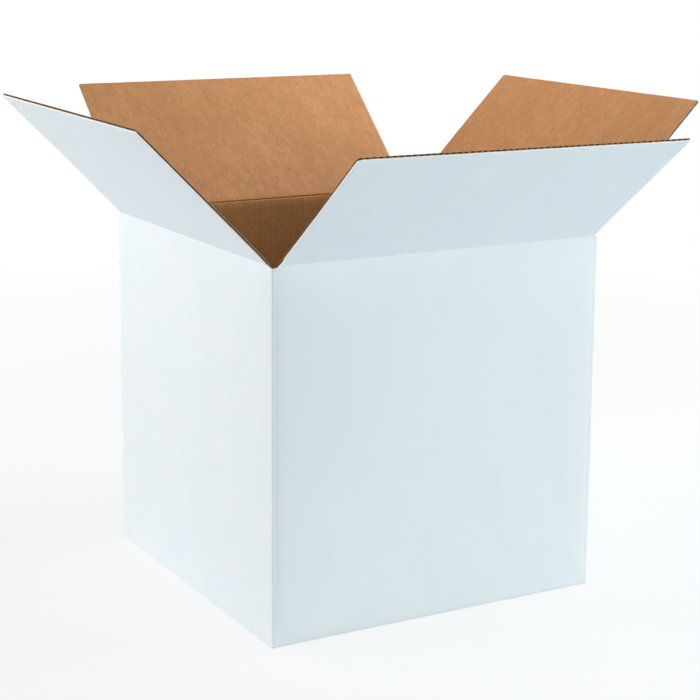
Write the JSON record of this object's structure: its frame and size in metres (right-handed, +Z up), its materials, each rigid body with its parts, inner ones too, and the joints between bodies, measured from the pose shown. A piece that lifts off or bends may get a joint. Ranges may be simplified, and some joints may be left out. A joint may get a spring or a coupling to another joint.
{
  "type": "corrugated shipping box",
  "caption": "Corrugated shipping box, white outside and brown inside, with hinged top flaps that shut over each other and a folded shut base.",
  "frame": {"origin": "middle of the shut base, on the floor", "axes": "+Z up; X along the front wall, which is parallel to the base seam; the front wall faces -Y"},
  "size_m": [0.7019, 0.7221, 0.5622],
  "materials": {
    "wall_board": "smooth white outside, plain brown inside",
    "flap_board": "smooth white outside, plain brown inside, open flutes at the cut edges"
  },
  "bodies": {
    "box": {"box_body": "wall_board"},
    "front_flap": {"front_flap": "flap_board"},
    "right_flap": {"right_flap": "flap_board"},
    "back_flap": {"back_flap": "flap_board"},
    "left_flap": {"left_flap": "flap_board"}
  },
  "joints": [
    {"name": "front_flap_fold", "type": "hinge", "parent": "box", "child": "front_flap", "pos_m": [0, -0.2078, 0.41654], "axis": [1, 0, 0], "range_deg": [-141.4, 123.6]},
    {"name": "right_flap_fold", "type": "hinge", "parent": "box", "child": "right_flap", "pos_m": [0.207, 0, 0.4137], "axis": [0, 1, 0], "range_deg": [-135, 130]},
    {"name": "back_flap_fold", "type": "hinge", "parent": "box", "child": "back_flap", "pos_m": [0, 0.2078, 0.41661], "axis": [-1, 0, 0], "range_deg": [-136.8, 128.2]},
    {"name": "left_flap_fold", "type": "hinge", "parent": "box", "child": "left_flap", "pos_m": [-0.207, 0, 0.41369], "axis": [0, -1, 0], "range_deg": [-134.8, 130.2]}
  ]
}
